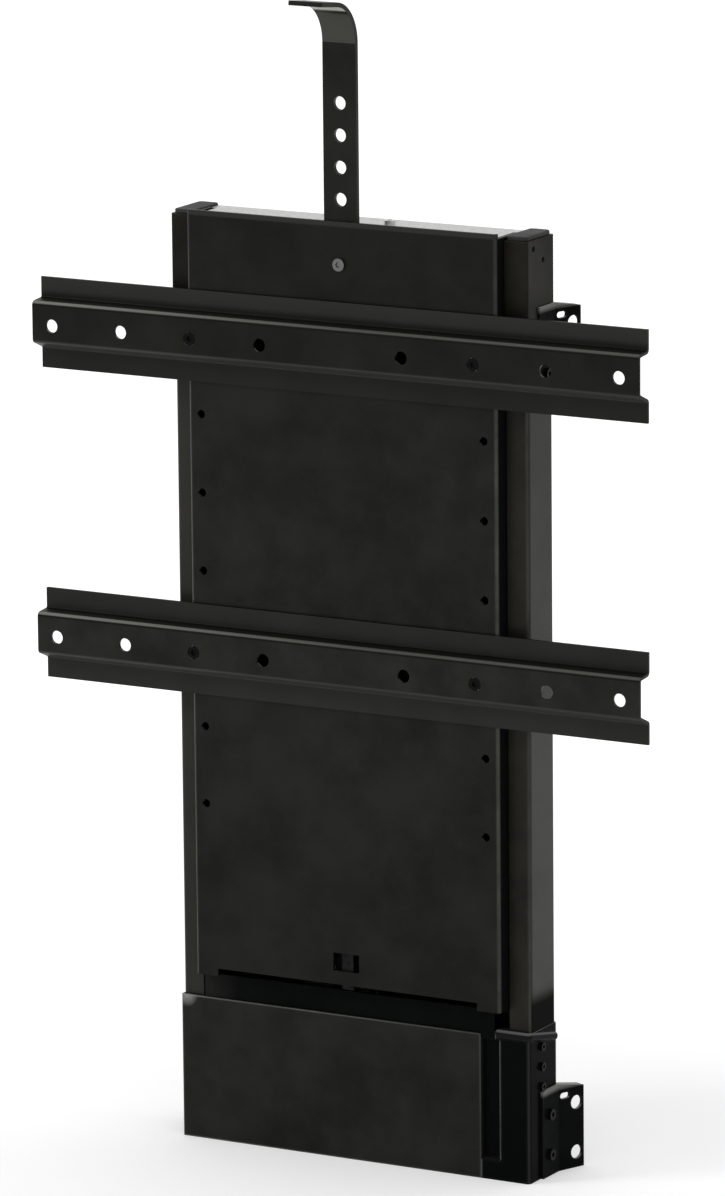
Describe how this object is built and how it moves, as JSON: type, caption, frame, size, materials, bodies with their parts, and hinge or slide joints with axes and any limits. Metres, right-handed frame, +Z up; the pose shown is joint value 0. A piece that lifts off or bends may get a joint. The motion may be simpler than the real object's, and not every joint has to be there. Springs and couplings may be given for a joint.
{
  "type": "tv lift",
  "caption": "Flat electric column lift for a television: base with motor, lipped outer column, inner mast, front panel with hat-section rails and a goose-neck strap for the cabinet's lid.",
  "frame": {"origin": "centre of the base's underside, on the axis of the lead screw", "axes": "+Z up along the column, -Y towards the television, +X to the right seen from the front"},
  "size_m": [0.428, 0.1066, 0.7434],
  "materials": {
    "black_paint": "satin powder coat",
    "galvanised": "zinc plated",
    "bright_steel": "zinc plated",
    "black_screws": "blackened",
    "gloss_black": "gloss",
    "glide_plastic": "smooth, self lubricating",
    "black_plastic": "matt",
    "gear_steel": "machined",
    "cast_block": "machined",
    "bronze": "machined",
    "belt_rubber": "woven face",
    "buffer_rubber": "matt",
    "board_green": "lacquered",
    "lead_sheath": "matt"
  },
  "bodies": {
    "base_frame": {"outer_column": "black_paint", "base_cover": "black_paint", "lower_bracket_left": "black_paint", "lower_bracket_right": "black_paint", "upper_bracket_left": "black_paint", "upper_bracket_right": "black_paint", "end_cap_left": "black_paint", "end_stays": "black_paint", "base_top_plate": "black_paint", "base_plate": "galvanised", "motor_mount": "galvanised", "belt_anchor": "galvanised", "belt_anchor_screws": "bright_steel", "base_screws": "bright_steel", "motor_screws": "bright_steel", "screw_bearings": "bright_steel", "gear_motor": "bright_steel", "bracket_screws": "black_screws", "end_screws": "black_screws", "end_cap_right": "gloss_black", "top_collar_left": "gloss_black", "top_collar_right": "gloss_black", "column_glides": "glide_plastic", "control_case": "black_plastic", "power_inlet": "black_plastic", "limit_sensor": "black_plastic", "gearbox": "gear_steel", "foot_bearing_block": "cast_block", "lift_belt_rear": "belt_rubber", "mast_buffers": "buffer_rubber", "control_board": "board_green", "motor_lead": "lead_sheath"},
    "mast": {"mast_channel": "galvanised", "mast_top_plate": "galvanised", "mast_glides": "glide_plastic", "nut_block": "cast_block", "lead_nut": "bronze", "mast_screws": "bright_steel", "pulley_cheeks": "galvanised", "pulley_axle": "bright_steel", "lift_belt_wrap": "belt_rubber", "lift_belt_front": "belt_rubber", "mast_end_caps": "black_plastic"},
    "carriage": {"front_panel": "black_paint", "tv_rail_upper": "black_paint", "tv_rail_lower": "black_paint", "rail_spacers": "bright_steel", "rail_screws": "black_screws", "panel_nuts": "bright_steel", "goose_neck_strap": "black_paint", "strap_screw": "bright_steel", "carriage_glides": "glide_plastic", "belt_clamp_bar": "bright_steel", "belt_clamp_plate": "bright_steel", "belt_clamp_screws": "bright_steel"},
    "screw": {"lead_screw": "bright_steel", "driven_bevel_gear": "gear_steel"},
    "pinion": {"motor_pinion": "gear_steel"},
    "pulley": {"belt_pulley": "glide_plastic", "pulley_bush": "bronze"}
  },
  "joints": [
    {"name": "mast_lift", "type": "slide", "parent": "base_frame", "child": "mast", "axis": [0, 0, 1], "range_m": [0, 0.3], "deforming": ["lift_belt_rear"]},
    {"name": "carriage_lift", "type": "slide", "parent": "mast", "child": "carriage", "axis": [0, 0, 1], "range_m": [0, 0.3], "deforming": ["lift_belt_front"]},
    {"name": "screw_spin", "type": "hinge", "parent": "base_frame", "child": "screw", "pos_m": [0, 0, 0.044], "axis": [0, 0, 1], "range_deg": [-9005, 0]},
    {"name": "pinion_spin", "type": "hinge", "parent": "base_frame", "child": "pinion", "pos_m": [0, 0, 0.044], "axis": [1, 0, 0], "range_deg": [-9005, 0]},
    {"name": "pulley_spin", "type": "hinge", "parent": "mast", "child": "pulley", "pos_m": [0, 0, 0.579], "axis": [1, 0, 0], "range_deg": [-1166, 0]}
  ],
  "couplings": [
    {"joint": "carriage_lift", "follows": "mast_lift", "ratio": 1},
    {"joint": "screw_spin", "follows": "mast_lift", "rad_per_m": -523.6},
    {"joint": "pinion_spin", "follows": "mast_lift", "rad_per_m": -523.6},
    {"joint": "pulley_spin", "follows": "mast_lift", "rad_per_m": -67.568}
  ]
}
